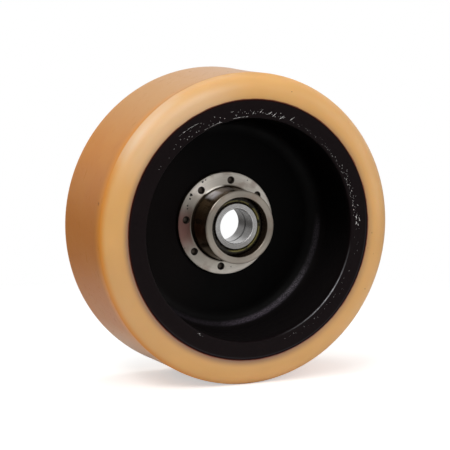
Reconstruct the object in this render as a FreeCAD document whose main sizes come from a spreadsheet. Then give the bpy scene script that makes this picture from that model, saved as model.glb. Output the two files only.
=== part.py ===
# Forklift load wheel: a polyurethane tyre cast on an iron rim, with a bolted hub on two taper
# roller bearings. Millimetres, +Z up, origin at the middle of the wheel, turning about +Y.
# The deep open side of the rim faces -Y.
import FreeCAD, Part
import math
import os
import re
import Sketcher

SIZES = {
    # Polyurethane tyre
    "wheel_diameter": 355,
    "wheel_width": 135,
    "tyre_thickness": 30,
    "shoulder_depth": 13,
    "shoulder_radius": 25,
    "tread_hollow": 0.6,
    "tread_edge_round": 1.5,
    # Cast iron rim
    "rim_wall": 20.7,
    "mouth_round": 2,
    "barrel_draft": 3,
    "web_depth": 75,
    "web_thickness": 20,
    "web_fillet": 20,
    "register_depth": 5,
    "register_clearance": 0.2,
    "bore_break": 1,
    # Turned steel hub
    "hub_wall": 8.25,
    "neck_length": 39.7,
    "neck_fillet": 3,
    "flange_margin": 9.5,
    "flange_thickness": 10.1,
    "spigot_wall": 9,
    "spigot_length": 10.2,
    "spigot_clearance": 0.1,
    "hub_chamfer": 0.8,
    "stop_height": 4,
    "stop_width": 2,
    # Taper roller bearings
    "bearing_bore": 40,
    "bearing_outside": 68,
    "housing_clearance": 0.01,
    "cup_width": 14.5,
    "cup_angle": 14,
    "cup_chamfer": 1,
    "cone_width": 19,
    "cone_chamfer": 0.8,
    "large_rib_margin": 0.7,
    "small_rib_width": 1.9,
    "small_rib_height": 1.2,
    "roller_count": 18,
    "roller_share": 0.48,
    "pitch_share": 0.418,
    "roller_depth": 8,
    "roller_length": 13,
    "roller_clearance": 0.08,
    "roller_end_clearance": 0.1,
    "cage_margin": 0.5,
    "cage_cup_clearance": 0.6,
    "cage_window_clearance": 0.25,
    "cage_setback": 1.4,
    "cage_overhang": 0.6,
    # Hub screws and spring lock washers
    "screw_count": 8,
    "screw_inset": 4.75,
    "screw_phase": 7.3,
    "screw_diameter": 8,
    "screw_length": 25,
    "screw_point": 1,
    "head_diameter": 13,
    "head_height": 8,
    "head_chamfer": 0.8,
    "socket_width": 6,
    "socket_depth": 4,
    "thread_clearance": 0.05,
    "screw_hole_diameter": 9,
    "washer_diameter": 12.7,
    "washer_thickness": 2,
    "washer_clearance": 0.3,
    "washer_gap": 1.2,
}

# Places worked out from the sizes, as expressions. Depths run from the front face of the wheel.
TREAD_RADIUS = "(wheel_diameter / 2)"
RIM_RADIUS = f"({TREAD_RADIUS} - tyre_thickness)"
MOUTH_RADIUS = f"({RIM_RADIUS} - rim_wall)"
WEB_REAR = "(web_depth + web_thickness)"
SEAT_DEPTH = "(web_depth + register_depth)"
CUP_RADIUS = "(bearing_outside / 2)"
NECK_RADIUS = f"({CUP_RADIUS} + hub_wall)"
SPIGOT_RADIUS = f"({CUP_RADIUS} + spigot_wall)"
CIRCLE_RADIUS = f"({NECK_RADIUS} + neck_fillet + screw_inset)"
FLANGE_RADIUS = f"({CIRCLE_RADIUS} + flange_margin)"
FLANGE_DEPTH = f"({SEAT_DEPTH} - flange_thickness)"
HUB_FRONT = f"({FLANGE_DEPTH} - neck_length)"
HUB_REAR = f"({SEAT_DEPTH} + spigot_length)"
STOP_DEPTH = f"(({HUB_FRONT} + {HUB_REAR}) / 2)"
STOP_FRONT = f"({STOP_DEPTH} - stop_width / 2)"
STOP_REAR = f"({STOP_DEPTH} + stop_width / 2)"
HEAD_SEAT = f"({WEB_REAR} + washer_thickness)"

# Bearing places, with depth counted outwards from the stop in the hub. The rollers and their circle
# are shares of the space between the bore and the outside. All the rolling lines meet at one apex on
# the axle, behind the stop, and reaches are counted from it.
AXLE_RADIUS = "(bearing_bore / 2)"
SECTION = f"({CUP_RADIUS} - {AXLE_RADIUS})"
PITCH_RADIUS = f"({AXLE_RADIUS} + pitch_share * {SECTION})"
PITCH_RATIO = f"({PITCH_RADIUS} / (roller_share * {SECTION} / 2))"
HALF_ANGLE = f"(atan(sin(cup_angle) / ({PITCH_RATIO} + cos(cup_angle))) / 1 deg)"
ROLLER_ANGLE = f"(cup_angle - {HALF_ANGLE})"
CONE_ANGLE = f"(cup_angle - 2 * {HALF_ANGLE})"
APEX = f"({PITCH_RADIUS} / tan({ROLLER_ANGLE}) - roller_depth)"
ROLLER_MIDDLE = f"({PITCH_RADIUS} / sin({ROLLER_ANGLE}))"
ROLLER_NEAR = f"({ROLLER_MIDDLE} - roller_length / 2)"
ROLLER_FAR = f"({ROLLER_MIDDLE} + roller_length / 2)"
RACE_START_RADIUS = f"((small_rib_width + {APEX}) * tan({CONE_ANGLE}))"
SMALL_RIB_RADIUS = f"({RACE_START_RADIUS} + small_rib_height)"
RIB_REACH = f"(({ROLLER_FAR} + roller_end_clearance) / cos({HALF_ANGLE}))"
RIB_ROOT = f"({RIB_REACH} * cos({CONE_ANGLE}) - {APEX})"
RIB_ROOT_RADIUS = f"({RIB_REACH} * sin({CONE_ANGLE}))"
LARGE_RIB_RADIUS = f"(({RIB_ROOT} + {APEX}) * tan({ROLLER_ANGLE}) - large_rib_margin)"
RIB_EDGE = f"({RIB_ROOT} - ({LARGE_RIB_RADIUS} - {RIB_ROOT_RADIUS}) * tan({ROLLER_ANGLE}))"

NEAR = 0.001
AXIS_Y = FreeCAD.Vector(0, 1, 0)
AXIS_Z = FreeCAD.Vector(0, 0, 1)

doc = FreeCAD.newDocument("LoadWheel")
sheet = doc.addObject("Spreadsheet::Sheet", "Sizes")
for row, (alias, size) in enumerate(SIZES.items(), 1):
    sheet.set(f"A{row}", alias)
    sheet.set(f"B{row}", str(size))
    sheet.setAlias(f"B{row}", alias)
doc.recompute()


def bound(text):
    """The expression with each size pointed at its cell of the sheet."""
    return re.sub(r"[a-z_]+", lambda word: f"Sizes.{word[0]}" if word[0] in SIZES else word[0], text)


def value(text):
    """The number that an expression of sizes gives now."""
    return float(sheet.evalExpression(bound(text)))


def new_body(label):
    body = doc.addObject("PartDesign::Body", label)
    body.Label = label
    return body


def plane(body, role):
    """One of the body's own origin planes or axes."""
    return next(item for item in body.Origin.OriginFeatures if item.Role == role)


def new_sketch(body, name, role):
    sketch = body.newObject("Sketcher::SketchObject", name)
    sketch.AttachmentSupport = (plane(body, role), [""])
    sketch.MapMode = "FlatFace"
    return sketch


def drive(sketch, constraint, text):
    """Adds a dimension to the sketch and binds it to an expression of sizes."""
    index = sketch.addConstraint(constraint)
    sketch.setExpression(f"Constraints[{index}]", bound(text))


def place_corner(sketch, edge, end, across, along):
    """Holds one end of an edge at two expressions, measured from the sketch's origin."""
    if across == "0":
        sketch.addConstraint(Sketcher.Constraint("PointOnObject", edge, end, -2))
    else:
        drive(sketch, Sketcher.Constraint("DistanceX", -1, 1, edge, end, value(across)), across)
    if along == "0":
        sketch.addConstraint(Sketcher.Constraint("PointOnObject", edge, end, -1))
    else:
        drive(sketch, Sketcher.Constraint("DistanceY", -1, 1, edge, end, value(along)), along)


def closed_outline(sketch, corners):
    """A closed outline through corners of (x, y). A third and fourth entry make the edge that
    leaves the corner an arc of that radius, bulging to the left (1) or the right (-1) of the way."""
    points = [FreeCAD.Vector(value(corner[0]), value(corner[1]), 0) for corner in corners]
    ends = []
    for index, corner in enumerate(corners):
        start = points[index]
        finish = points[(index + 1) % len(points)]
        if len(corner) == 2:
            ends.append((sketch.addGeometry(Part.LineSegment(start, finish)), 1, 2))
            continue
        radius = value(corner[2])
        bulge = corner[3]
        chord = finish - start
        inset = math.sqrt(radius**2 - chord.Length**2 / 4)
        left = AXIS_Z.cross(chord).normalize()
        centre = (start + finish) / 2 - left * inset * bulge
        first, last = (finish, start) if bulge > 0 else (start, finish)
        opening = math.atan2(first.y - centre.y, first.x - centre.x)
        closing = math.atan2(last.y - centre.y, last.x - centre.x)
        if closing < opening:
            closing += 2 * math.pi
        edge = sketch.addGeometry(Part.ArcOfCircle(Part.Circle(centre, AXIS_Z, radius), opening, closing))
        ends.append((edge, 2, 1) if bulge > 0 else (edge, 1, 2))
    for index, (edge, _, last) in enumerate(ends):
        next_edge, next_first, _ = ends[(index + 1) % len(ends)]
        sketch.addConstraint(Sketcher.Constraint("Coincident", edge, last, next_edge, next_first))
    for corner, (edge, first, _) in zip(corners, ends):
        place_corner(sketch, edge, first, corner[0], corner[1])
        if len(corner) > 2:
            drive(sketch, Sketcher.Constraint("Radius", edge, value(corner[2])), corner[2])


def revolved(body, name, corners, axis_at="0"):
    """Turns an outline of (radius, depth) corners about the Y axis, or about a line beside it."""
    sketch = new_sketch(body, f"{name}Profile", "XY_Plane")
    closed_outline(sketch, corners)
    axis = "V_Axis"
    if axis_at != "0":
        reach = value("wheel_width")
        foot = FreeCAD.Vector(value(axis_at), 0, 0)
        line = sketch.addGeometry(Part.LineSegment(foot, foot + AXIS_Y * reach), True)
        place_corner(sketch, line, 1, axis_at, "0")
        place_corner(sketch, line, 2, axis_at, "wheel_width")
        axis = "Axis0"
    turned = body.newObject("PartDesign::Revolution", name)
    turned.Profile = sketch
    turned.ReferenceAxis = (sketch, [axis])
    turned.Angle = 360
    doc.recompute()
    return turned


def ring_edges(feature, places):
    """The feature's circular edges at the given (radius, depth) expressions."""
    wanted = [(value(radius), value(depth)) for radius, depth in places]
    names = []
    for number, edge in enumerate(feature.Shape.Edges, 1):
        if not isinstance(edge.Curve, Part.Circle):
            continue
        found = (edge.Curve.Radius, edge.Curve.Center.y)
        if any(abs(found[0] - place[0]) < NEAR and abs(found[1] - place[1]) < NEAR for place in wanted):
            names.append(f"Edge{number}")
    if len(names) < len(wanted):
        raise RuntimeError(f"{feature.Name}: {len(names)} of {len(wanted)} edges found")
    return names


def rounded(body, base, name, size, places):
    fillet = body.newObject("PartDesign::Fillet", name)
    fillet.Base = (base, ring_edges(base, places))
    fillet.setExpression("Radius", bound(size))
    doc.recompute()
    return fillet


def chamfered(body, base, name, size, places):
    chamfer = body.newObject("PartDesign::Chamfer", name)
    chamfer.Base = (base, ring_edges(base, places))
    chamfer.setExpression("Size", bound(size))
    doc.recompute()
    return chamfer


def repeated(body, features, name, count):
    """Repeats features about the body's Y axis."""
    pattern = body.newObject("PartDesign::PolarPattern", name)
    pattern.Originals = features
    pattern.Axis = (plane(body, "Y_Axis"), [""])
    pattern.Angle = 360
    pattern.setExpression("Occurrences", bound(count))
    body.Tip = pattern
    doc.recompute()
    return pattern


def cut_through(body, name, sketch):
    """A pocket from the front plane through the whole body."""
    before = body.Shape.Volume
    pocket = body.newObject("PartDesign::Pocket", name)
    pocket.Profile = sketch
    pocket.Type = "ThroughAll"
    doc.recompute()
    if not body.Shape.Volume < before:
        pocket.Reversed = True
        doc.recompute()
    if not body.Shape.Volume < before:
        raise RuntimeError(f"{body.Label}: {name} cuts nothing")
    return pocket


def screw_holes(body, diameter):
    """The ring of holes for the hub screws."""
    sketch = new_sketch(body, "ScrewHoleProfile", "XZ_Plane")
    centre = FreeCAD.Vector(value(CIRCLE_RADIUS), 0, 0)
    hole = sketch.addGeometry(Part.Circle(centre, AXIS_Z, value(diameter) / 2))
    place_corner(sketch, hole, 3, CIRCLE_RADIUS, "0")
    drive(sketch, Sketcher.Constraint("Diameter", hole, value(diameter)), diameter)
    pocket = cut_through(body, "ScrewHole", sketch)
    return repeated(body, [pocket], "ScrewHoles", "screw_count")


def set_in_wheel(body):
    """Depth 0 goes to the front face of the wheel, and the screws turn to their rest angle."""
    body.Placement = FreeCAD.Placement(FreeCAD.Vector(0, 0, 0), FreeCAD.Rotation(AXIS_Y, 1))
    body.setExpression("Placement.Base.y", bound("-wheel_width / 2"))
    body.setExpression("Placement.Rotation.Angle", bound("screw_phase"))
    return body


def make_tyre():
    shoulder_reach = "sqrt(2 * shoulder_radius * shoulder_depth - shoulder_depth ^ 2)"
    flat_radius = f"{TREAD_RADIUS} - {shoulder_reach}"
    tread_width = "(wheel_width - 2 * shoulder_depth)"
    tread_arc = f"({tread_width} ^ 2 / 4 + tread_hollow ^ 2) / (2 * tread_hollow)"
    rear_edge = "wheel_width - shoulder_depth"
    body = new_body("tyre")
    turned = revolved(body, "Tyre", [
        (RIM_RADIUS, "0"),
        (flat_radius, "0", "shoulder_radius", -1),
        (TREAD_RADIUS, "shoulder_depth", tread_arc, 1),
        (TREAD_RADIUS, rear_edge, "shoulder_radius", -1),
        (flat_radius, "wheel_width"),
        (RIM_RADIUS, "wheel_width"),
    ])
    edges = [(TREAD_RADIUS, "shoulder_depth"), (TREAD_RADIUS, rear_edge)]
    rounded(body, turned, "TreadEdgeRound", "tread_edge_round", edges)
    return set_in_wheel(body)


def make_rim():
    front_root = f"{MOUTH_RADIUS} - web_depth * tan(barrel_draft)"
    rear_root = f"{MOUTH_RADIUS} - (wheel_width - {WEB_REAR}) * tan(barrel_draft)"
    register_radius = f"{FLANGE_RADIUS} + register_clearance"
    bore_radius = f"{SPIGOT_RADIUS} + spigot_clearance"
    body = new_body("rim")
    turned = revolved(body, "Rim", [
        (MOUTH_RADIUS, "0"),
        (RIM_RADIUS, "0"),
        (RIM_RADIUS, "wheel_width"),
        (MOUTH_RADIUS, "wheel_width"),
        (rear_root, WEB_REAR),
        (bore_radius, WEB_REAR),
        (bore_radius, SEAT_DEPTH),
        (register_radius, SEAT_DEPTH),
        (register_radius, "web_depth"),
        (front_root, "web_depth"),
    ])
    roots = [(front_root, "web_depth"), (rear_root, WEB_REAR)]
    filleted = rounded(body, turned, "WebFillet", "web_fillet", roots)
    mouths = [(MOUTH_RADIUS, "0"), (MOUTH_RADIUS, "wheel_width")]
    softened = rounded(body, filleted, "MouthRound", "mouth_round", mouths)
    chamfered(body, softened, "BoreBreak", "bore_break", [
        (register_radius, "web_depth"),
        (bore_radius, WEB_REAR),
    ])
    screw_holes(body, "screw_hole_diameter")
    return set_in_wheel(body)


def make_hub():
    housing = f"{CUP_RADIUS} + housing_clearance"
    stop = f"{CUP_RADIUS} - stop_height"
    body = new_body("hub")
    turned = revolved(body, "Hub", [
        (housing, HUB_FRONT),
        (NECK_RADIUS, HUB_FRONT),
        (NECK_RADIUS, FLANGE_DEPTH),
        (FLANGE_RADIUS, FLANGE_DEPTH),
        (FLANGE_RADIUS, SEAT_DEPTH),
        (SPIGOT_RADIUS, SEAT_DEPTH),
        (SPIGOT_RADIUS, HUB_REAR),
        (housing, HUB_REAR),
        (housing, STOP_REAR),
        (stop, STOP_REAR),
        (stop, STOP_FRONT),
        (housing, STOP_FRONT),
    ])
    filleted = rounded(body, turned, "NeckFillet", "neck_fillet", [(NECK_RADIUS, FLANGE_DEPTH)])
    chamfered(body, filleted, "HubChamfer", "hub_chamfer", [
        (housing, HUB_FRONT),
        (NECK_RADIUS, HUB_FRONT),
        (FLANGE_RADIUS, FLANGE_DEPTH),
        (SPIGOT_RADIUS, HUB_REAR),
        (housing, HUB_REAR),
    ])
    screw_holes(body, "screw_diameter")
    return set_in_wheel(body)


def make_hub_screws():
    """Socket head cap screws, put in from behind through the web into the hub flange."""
    shank = f"{CIRCLE_RADIUS} + screw_diameter / 2 - thread_clearance"
    tip = f"{HEAD_SEAT} - screw_length"
    head = f"{CIRCLE_RADIUS} + head_diameter / 2"
    head_top = f"({HEAD_SEAT} + head_height)"
    body = new_body("hub_screws")
    turned = revolved(body, "Screw", [
        (CIRCLE_RADIUS, tip),
        (f"{shank} - screw_point", tip),
        (shank, f"{tip} + screw_point"),
        (shank, HEAD_SEAT),
        (head, HEAD_SEAT),
        (head, f"{head_top} - head_chamfer"),
        (f"{head} - head_chamfer", head_top),
        (CIRCLE_RADIUS, head_top),
    ], CIRCLE_RADIUS)
    sketch = new_sketch(body, "SocketProfile", "XZ_Plane")
    sketch.AttachmentOffset = FreeCAD.Placement(FreeCAD.Vector(0, 0, -1), FreeCAD.Rotation())
    sketch.setExpression("AttachmentOffset.Base.z", bound(f"-{head_top}"))
    apothem = "socket_width / 2"
    half_side = "socket_width / 2 * tan(30)"
    corner = "socket_width / 2 / cos(30)"
    closed_outline(sketch, [
        (f"{CIRCLE_RADIUS} + {apothem}", f"-{half_side}"),
        (f"{CIRCLE_RADIUS} + {apothem}", half_side),
        (CIRCLE_RADIUS, corner),
        (f"{CIRCLE_RADIUS} - {apothem}", half_side),
        (f"{CIRCLE_RADIUS} - {apothem}", f"-{half_side}"),
        (CIRCLE_RADIUS, f"-{corner}"),
    ])
    before = body.Shape.Volume
    socket = body.newObject("PartDesign::Pocket", "Socket")
    socket.Profile = sketch
    socket.Reversed = True
    socket.setExpression("Length", bound("socket_depth"))
    doc.recompute()
    if not body.Shape.Volume < before:
        raise RuntimeError("the screw sockets cut nothing")
    repeated(body, [turned, socket], "Screws", "screw_count")
    return set_in_wheel(body)


def make_lock_washers():
    """Split spring washers under the screw heads."""
    outside = f"{CIRCLE_RADIUS} + washer_diameter / 2"
    inside = f"{CIRCLE_RADIUS} + screw_diameter / 2 + washer_clearance"
    body = new_body("lock_washers")
    turned = revolved(body, "Washer", [
        (inside, WEB_REAR),
        (outside, WEB_REAR),
        (outside, HEAD_SEAT),
        (inside, HEAD_SEAT),
    ], CIRCLE_RADIUS)
    sketch = new_sketch(body, "SplitProfile", "XZ_Plane")
    half_gap = "washer_gap / 2"
    closed_outline(sketch, [
        (CIRCLE_RADIUS, f"-{half_gap}"),
        (f"{CIRCLE_RADIUS} + washer_diameter", f"-{half_gap}"),
        (f"{CIRCLE_RADIUS} + washer_diameter", half_gap),
        (CIRCLE_RADIUS, half_gap),
    ])
    split = cut_through(body, "Split", sketch)
    repeated(body, [turned, split], "Washers", "screw_count")
    return set_in_wheel(body)


def bearing_frame(facing):
    """Where a bearing stands: on the front (-1) or rear (1) side of the stop, facing outwards."""
    depth = value(f"{STOP_DEPTH} - wheel_width / 2 + {facing} * stop_width / 2")
    turn = 0 if facing > 0 else 180
    return FreeCAD.Placement(FreeCAD.Vector(0, depth, 0), FreeCAD.Rotation(AXIS_Z, turn))


def set_in_bearing(body, facing):
    body.Placement = bearing_frame(facing)
    body.setExpression(
        "Placement.Base.y",
        bound(f"{STOP_DEPTH} - wheel_width / 2 + {facing} * stop_width / 2"),
    )
    return body


def make_cup(side, facing):
    body = new_body(f"{side}_cup")
    turned = revolved(body, "Cup", [
        (f"{APEX} * tan(cup_angle)", "0"),
        (CUP_RADIUS, "0"),
        (CUP_RADIUS, "cup_width"),
        (f"({APEX} + cup_width) * tan(cup_angle)", "cup_width"),
    ])
    chamfered(body, turned, "CupChamfer", "cup_chamfer", [(CUP_RADIUS, "0"), (CUP_RADIUS, "cup_width")])
    return set_in_bearing(body, facing)


def make_cone(side, facing):
    """The inner ring, with its raceway between a small rib and the large guide rib."""
    body = new_body(f"{side}_cone")
    turned = revolved(body, "Cone", [
        (AXLE_RADIUS, "0"),
        (SMALL_RIB_RADIUS, "0"),
        (SMALL_RIB_RADIUS, "small_rib_width"),
        (RACE_START_RADIUS, "small_rib_width"),
        (RIB_ROOT_RADIUS, RIB_ROOT),
        (LARGE_RIB_RADIUS, RIB_EDGE),
        (LARGE_RIB_RADIUS, "cone_width"),
        (AXLE_RADIUS, "cone_width"),
    ])
    chamfered(body, turned, "ConeChamfer", "cone_chamfer", [
        (AXLE_RADIUS, "0"),
        (AXLE_RADIUS, "cone_width"),
        (LARGE_RIB_RADIUS, "cone_width"),
    ])
    return set_in_bearing(body, facing)


def roller_places(clearance, end_clearance):
    """Radii at the small and large ends of a roller and its length, as expressions."""
    small = f"({ROLLER_NEAR} - {end_clearance}) * tan({HALF_ANGLE}) + {clearance}"
    large = f"({ROLLER_FAR} + {end_clearance}) * tan({HALF_ANGLE}) + {clearance}"
    length = f"roller_length + 2 * {end_clearance}"
    return small, large, length


def roller_seat(end_clearance):
    """The small end of a roller, on the roller's line from the apex, in the bearing's own frame."""
    reach = value(f"{ROLLER_NEAR} - {end_clearance}")
    lean = math.radians(value(ROLLER_ANGLE))
    along = FreeCAD.Vector(math.sin(lean), math.cos(lean), 0)
    foot = along * reach - AXIS_Y * value(APEX)
    return FreeCAD.Placement(foot, FreeCAD.Rotation(AXIS_Z, along))


def set_roller_sizes(cone, small, large, length):
    cone.setExpression("Radius1", bound(small))
    cone.setExpression("Radius2", bound(large))
    cone.setExpression("Height", bound(length))


def make_cage(side, facing):
    """A moulded taper ring between the cup and the rollers' axes, with a window round each roller."""
    inner_end = f"({APEX} - cage_overhang)"
    outer_end = f"({APEX} + cone_width - cage_setback)"
    body = new_body(f"{side}_cage")
    revolved(body, "Cage", [
        (f"{inner_end} * tan({ROLLER_ANGLE}) + cage_margin", "-cage_overhang"),
        (f"{inner_end} * tan(cup_angle) - cage_cup_clearance", "-cage_overhang"),
        (f"{outer_end} * tan(cup_angle) - cage_cup_clearance", "cone_width - cage_setback"),
        (f"{outer_end} * tan({ROLLER_ANGLE}) + cage_margin", "cone_width - cage_setback"),
    ])
    window = body.newObject("PartDesign::SubtractiveCone", "Window")
    set_roller_sizes(window, *roller_places("cage_window_clearance", "cage_window_clearance"))
    window.Placement = roller_seat("cage_window_clearance")
    doc.recompute()
    repeated(body, [window], "Windows", "roller_count")
    return set_in_bearing(body, facing)


def make_rollers(side, facing):
    rollers = []
    count = round(value("roller_count"))
    for index in range(count):
        roller = doc.addObject("Part::Cone", f"{side}_roller_{index + 1:02d}")
        set_roller_sizes(roller, *roller_places("-roller_clearance", "0"))
        turn = FreeCAD.Placement(FreeCAD.Vector(), FreeCAD.Rotation(AXIS_Y, 360 * index / count))
        roller.Placement = bearing_frame(facing) * turn * roller_seat("0")
        rollers.append(roller)
    return rollers


def make_cone_spacer():
    """The ring that keeps the two inner rings apart, with their bore and their small rib's outside."""
    body = new_body("cone_spacer")
    revolved(body, "Spacer", [
        (AXLE_RADIUS, STOP_FRONT),
        (SMALL_RIB_RADIUS, STOP_FRONT),
        (SMALL_RIB_RADIUS, STOP_REAR),
        (AXLE_RADIUS, STOP_REAR),
    ])
    return set_in_wheel(body)


subparts = [
    make_tyre(),
    make_rim(),
    make_hub(),
    make_hub_screws(),
    make_lock_washers(),
    make_cone_spacer(),
]
for side, facing in (("front", -1), ("rear", 1)):
    subparts.append(make_cup(side, facing))
    subparts.append(make_cone(side, facing))
    subparts.append(make_cage(side, facing))
    subparts.extend(make_rollers(side, facing))
doc.recompute()

for item in doc.Objects:
    if "Invalid" in item.State or "Error" in item.State:
        raise RuntimeError(f"{item.Name} failed: {item.State}")
for item in subparts:
    if item.Shape.isNull() or not item.Shape.isValid():
        raise RuntimeError(f"{item.Label} has no valid shape")

os.makedirs("parts", exist_ok=True)
for item in subparts:
    item.Shape.exportStep(f"parts/{item.Label}.step")
    print(item.Label, len(item.Shape.Solids), round(item.Shape.Volume))
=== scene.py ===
# %% [markdown]
# # A forklift load wheel
# The wheel is a thick amber polyurethane tyre, cast on to a black iron rim. The rim is dished: its web lies
# behind the middle, and a turned steel hub is bolted to it. Two taper roller bearings turn in the hub.
# The exact solids come from the packed model, and this lesson dresses them: finishes, worn paint, screws
# and light. Everything is in metres, with the axle along Y, +Z up and the deep open side towards -Y.

# %% Load the packed model
import bpy
import bmesh
import math
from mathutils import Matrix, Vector


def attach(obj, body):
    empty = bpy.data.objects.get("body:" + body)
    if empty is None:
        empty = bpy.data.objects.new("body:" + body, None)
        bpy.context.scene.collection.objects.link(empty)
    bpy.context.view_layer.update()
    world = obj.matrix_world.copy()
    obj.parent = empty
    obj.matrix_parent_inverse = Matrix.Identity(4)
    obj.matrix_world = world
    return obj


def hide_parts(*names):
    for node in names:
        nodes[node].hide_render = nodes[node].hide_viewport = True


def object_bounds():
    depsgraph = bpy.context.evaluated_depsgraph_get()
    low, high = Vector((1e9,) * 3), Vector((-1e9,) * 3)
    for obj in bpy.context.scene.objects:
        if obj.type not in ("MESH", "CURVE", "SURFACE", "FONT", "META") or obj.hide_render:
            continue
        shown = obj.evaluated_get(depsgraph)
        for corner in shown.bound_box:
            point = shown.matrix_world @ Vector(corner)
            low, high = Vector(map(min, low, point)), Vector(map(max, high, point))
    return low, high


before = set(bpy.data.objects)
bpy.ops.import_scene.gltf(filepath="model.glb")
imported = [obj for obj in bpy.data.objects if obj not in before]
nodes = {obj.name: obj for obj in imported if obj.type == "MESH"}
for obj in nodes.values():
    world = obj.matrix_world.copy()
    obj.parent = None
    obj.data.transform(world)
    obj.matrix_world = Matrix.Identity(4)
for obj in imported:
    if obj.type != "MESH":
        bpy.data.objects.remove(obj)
cad_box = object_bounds()
HALF_WIDTH = 67.5  # mm from the wheel's middle to its front face
print("nodes", len(nodes), "box", [round(v, 4) for corner in cad_box for v in corner])

# %% [markdown]
# ## Camera
# The photo was taken from a little to the left and a little above, with a long lens. The wheel's circles give
# the view: 24.7 degrees round and 7.9 degrees up, about two and a half metres away. A small shift of the lens
# puts the wheel where it stands in the picture, without turning the camera.

# %% Camera at the photo's viewing angle
AZIMUTH = math.radians(-24.6996)
ELEVATION = math.radians(7.8732)
DISTANCE = 2.4665
AIM = Vector((0, -HALF_WIDTH / 1000, 0))
SENSOR_MM = 36
LENS_MM = 175.6
LENS_SHIFT = (-0.0583, 0.0128)

scene = bpy.context.scene
camera = bpy.data.objects.new("camera", bpy.data.cameras.new("camera"))
scene.collection.objects.link(camera)
backwards = Vector((
    math.sin(AZIMUTH) * math.cos(ELEVATION),
    -math.cos(AZIMUTH) * math.cos(ELEVATION),
    math.sin(ELEVATION),
))
camera.location = AIM + backwards * DISTANCE
camera.rotation_euler = (-backwards).to_track_quat("-Z", "Y").to_euler()
camera.data.sensor_width = SENSOR_MM
camera.data.lens = LENS_MM
camera.data.shift_x, camera.data.shift_y = LENS_SHIFT
scene.camera = camera
print("camera at", [round(v, 3) for v in camera.location])

# %% [markdown]
# ## A small kit for node trees
# The room's light, every finish and every repeated shape is a tree of nodes. A tree could be wired up node by
# node, with a line for each link. It is easier to read as a recipe, where one call makes one node, feeds its
# inputs and hands back its output, so this kit offers the few sums that all the trees here need.


# %% Recipe for a node tree
class Recipe:
    """A node tree, written line by line."""

    def __init__(self, tree):
        self.tree = tree

    def feed(self, socket, value):
        """Links a socket to another node's output, or sets a plain value on it."""
        if isinstance(value, bpy.types.NodeSocket):
            self.tree.links.new(value, socket)
        else:
            socket.default_value = value

    def node(self, kind, *values, operation=None, **sockets):
        """Makes a node and feeds its inputs, first in their order and then by name."""
        node = self.tree.nodes.new(kind)
        if operation:
            node.operation = operation
        for socket, value in zip(node.inputs, values):
            self.feed(socket, value)
        for name, value in sockets.items():
            self.feed(node.inputs[name.replace("_", " ")], value)
        return node

    def math(self, operation, *values):
        return self.node("ShaderNodeMath", *values, operation=operation).outputs[0]

    def vector(self, x=0.0, y=0.0, z=0.0):
        return self.node("ShaderNodeCombineXYZ", x, y, z).outputs[0]

    def vectors(self, operation, *values):
        """A sum of vectors. A length comes back as a number."""
        node = self.node("ShaderNodeVectorMath", *values, operation=operation)
        return node.outputs["Value" if operation == "LENGTH" else "Vector"]

    def both(self, first, *others):
        """What some masks have in common."""
        for other in others:
            first = self.math("MULTIPLY", first, other)
        return first

    def either(self, first, *others):
        """The strongest of some masks."""
        for other in others:
            first = self.math("MAXIMUM", first, other)
        return first

    def fade(self, value, start, end, low=0.0, high=1.0):
        """Goes smoothly from low at start to high at end."""
        node = self.node("ShaderNodeMapRange", value, start, end, low, high)
        node.interpolation_type = "SMOOTHSTEP"
        return node.outputs["Result"]


print("recipe calls", *[call for call in vars(Recipe) if call[0] != "_"])

# %% [markdown]
# ## Light and background
# A wheel like this is photographed before a white backdrop with large soft lamps. The world is white where the
# camera looks at it, and also where a shiny surface mirrors the backdrop behind the wheel. The rest of the room
# is dimmer and lights the wheel at an ordinary level. Of the five lamps, two stand at the upper left, one in
# front above the camera and a wide one at the right, and one hangs overhead.

# %% White room
ROOM_TONE = (1, 0.985, 0.965, 1)
ROOM_STRENGTH = 0.37
BEHIND = (-0.35, 0.25)  # how far a direction points backwards, where the backdrop begins and where it is full
ABOVE_TABLE = (-0.10, 0.15)  # the same for how far it points upwards

world = bpy.data.worlds.new("white_room")
scene.world = world
world.use_nodes = True
world.node_tree.nodes.clear()
room = Recipe(world.node_tree)
seen_white = room.node("ShaderNodeBackground", Color=(1, 1, 1, 1)).outputs[0]
room_light = room.node("ShaderNodeBackground", Color=ROOM_TONE, Strength=ROOM_STRENGTH).outputs[0]
ray = room.node("ShaderNodeLightPath").outputs
mirror_ray = room.either(ray["Is Glossy Ray"], ray["Is Transmission Ray"])
looks = room.node("ShaderNodeTexCoord").outputs["Generated"]
direction = room.node("ShaderNodeSeparateXYZ", looks).outputs
backdrop = room.both(room.fade(direction["Y"], *BEHIND), room.fade(direction["Z"], *ABOVE_TABLE))
seen_ray = room.either(ray["Is Camera Ray"], room.both(backdrop, mirror_ray))
choose = room.node("ShaderNodeMixShader", seen_ray, room_light, seen_white).outputs[0]
room.node("ShaderNodeOutputWorld", Surface=choose)
print("room nodes", len(room.tree.nodes))

# %% Soft lamps
LAMPS = {
    # name: place and width in metres, watts
    "lamp_key": ((-0.92, -1.14, 1.25), 0.86, 9.4),
    "lamp_edge": ((-1.36, -0.64, 1.84), 0.7, 8),
    "lamp_front": ((0.10, -1.72, 1.12), 0.9, 6.2),
    "lamp_fill": ((1.9, -1.2, 0.5), 1.6, 9),
    "lamp_top": ((0.0, 0.2, 1.9), 1.2, 10.5),
}
for name, (place, width, watts) in LAMPS.items():
    light = bpy.data.lights.new(name, "AREA")
    light.shape = "SQUARE"
    light.size = width
    light.energy = watts
    lamp = bpy.data.objects.new(name, light)
    scene.collection.objects.link(lamp)
    lamp.location = place
    lamp.rotation_euler = (-Vector(place)).to_track_quat("-Z", "Y").to_euler()
print("lamps", list(LAMPS))

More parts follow.
